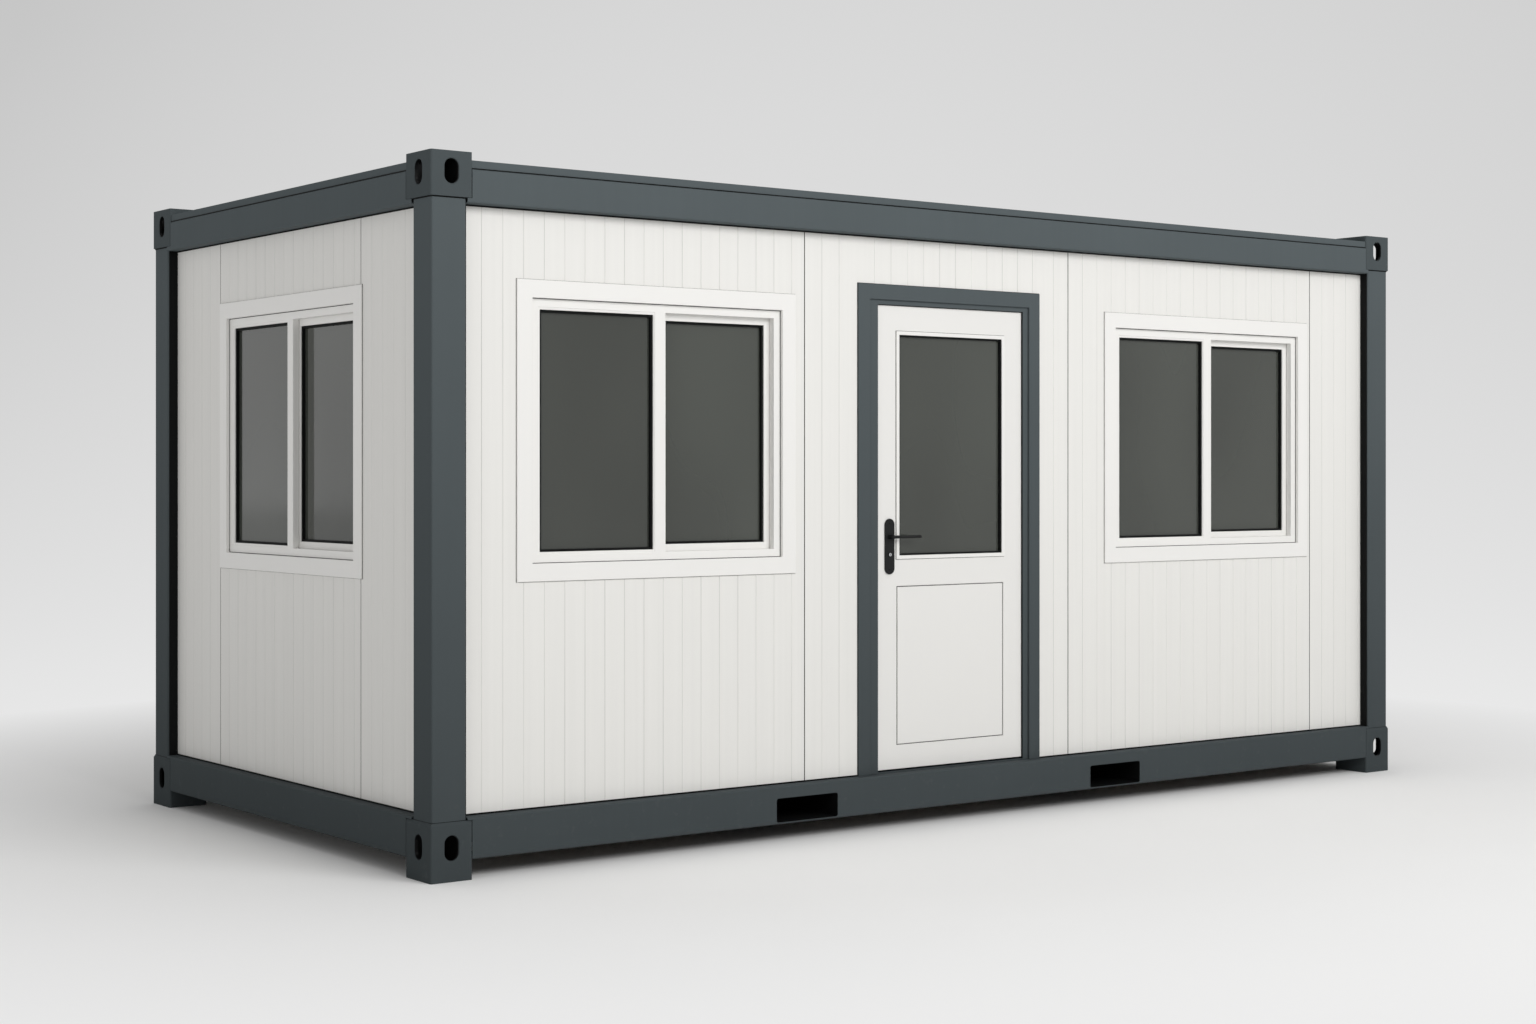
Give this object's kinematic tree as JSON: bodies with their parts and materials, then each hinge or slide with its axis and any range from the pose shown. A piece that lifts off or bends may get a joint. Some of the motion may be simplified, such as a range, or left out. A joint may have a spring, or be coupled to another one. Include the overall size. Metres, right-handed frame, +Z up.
{
  "type": "container house",
  "caption": "Single-storey steel-framed container house with white sandwich panel walls, sliding windows and one inward-opening glazed door.",
  "frame": {"origin": "middle of the footprint, at ground level", "axes": "+X along the length, to the right seen from the door side; -Y out of the door side; +Z up"},
  "size_m": [5.87, 2.82, 2.896],
  "materials": {
    "steel_frame": "satin dark grey paint",
    "wall_panel": "matt white coated sheet",
    "inner_lining": "matt white coated sheet",
    "door_panel": "satin white paint",
    "window_trim": "satin white powder coat",
    "glass": "tinted glass",
    "rubber_strip": "matt black rubber",
    "floor": "sheeted floor board",
    "roof": "coated sheet",
    "bare_steel": "brushed steel",
    "black_hardware": "satin black"
  },
  "bodies": {
    "house": {"bottom_castings": "steel_frame", "top_castings": "steel_frame", "front_left_post": "steel_frame", "front_right_post": "steel_frame", "back_left_post": "steel_frame", "back_right_post": "steel_frame", "front_bottom_rail": "steel_frame", "back_bottom_rail": "steel_frame", "left_bottom_rail": "steel_frame", "right_bottom_rail": "steel_frame", "front_top_rail": "steel_frame", "back_top_rail": "steel_frame", "left_top_rail": "steel_frame", "right_top_rail": "steel_frame", "fork_pockets": "steel_frame", "floor_joists": "steel_frame", "floor_deck": "floor", "roof_sheet": "roof", "roof_edge": "steel_frame", "ceiling": "inner_lining", "front_wall_left": "wall_panel", "door_wall_left": "wall_panel", "door_wall_over": "wall_panel", "door_wall_right": "wall_panel", "front_wall_right": "wall_panel", "front_wall_end": "wall_panel", "left_wall": "wall_panel", "right_wall": "wall_panel", "back_wall": "wall_panel", "front_left_window": "window_trim", "front_right_window": "window_trim", "left_window": "window_trim", "right_window": "window_trim", "window_sashes": "window_trim", "window_seals": "rubber_strip", "window_glass": "glass", "wall_strips": "rubber_strip", "door_frame": "steel_frame", "frame_hinges": "bare_steel"},
    "door": {"door_leaf": "door_panel", "door_glass": "glass", "door_bead": "window_trim", "door_hinges": "bare_steel", "handle_plates": "black_hardware"},
    "lever": {"door_lever": "black_hardware"}
  },
  "joints": [
    {"name": "door_hinge", "type": "hinge", "parent": "house", "child": "door", "pos_m": [0.3045, -1.285, 1.3295], "axis": [0, 0, -1], "range_deg": [0, 100]},
    {"name": "door_lever_turn", "type": "hinge", "parent": "door", "child": "lever", "pos_m": [-0.535, -1.316, 1.326], "axis": [0, 1, 0], "range_deg": [0, 40], "stiffness_Nm_per_rad": 2, "springref_deg": -34.38}
  ]
}
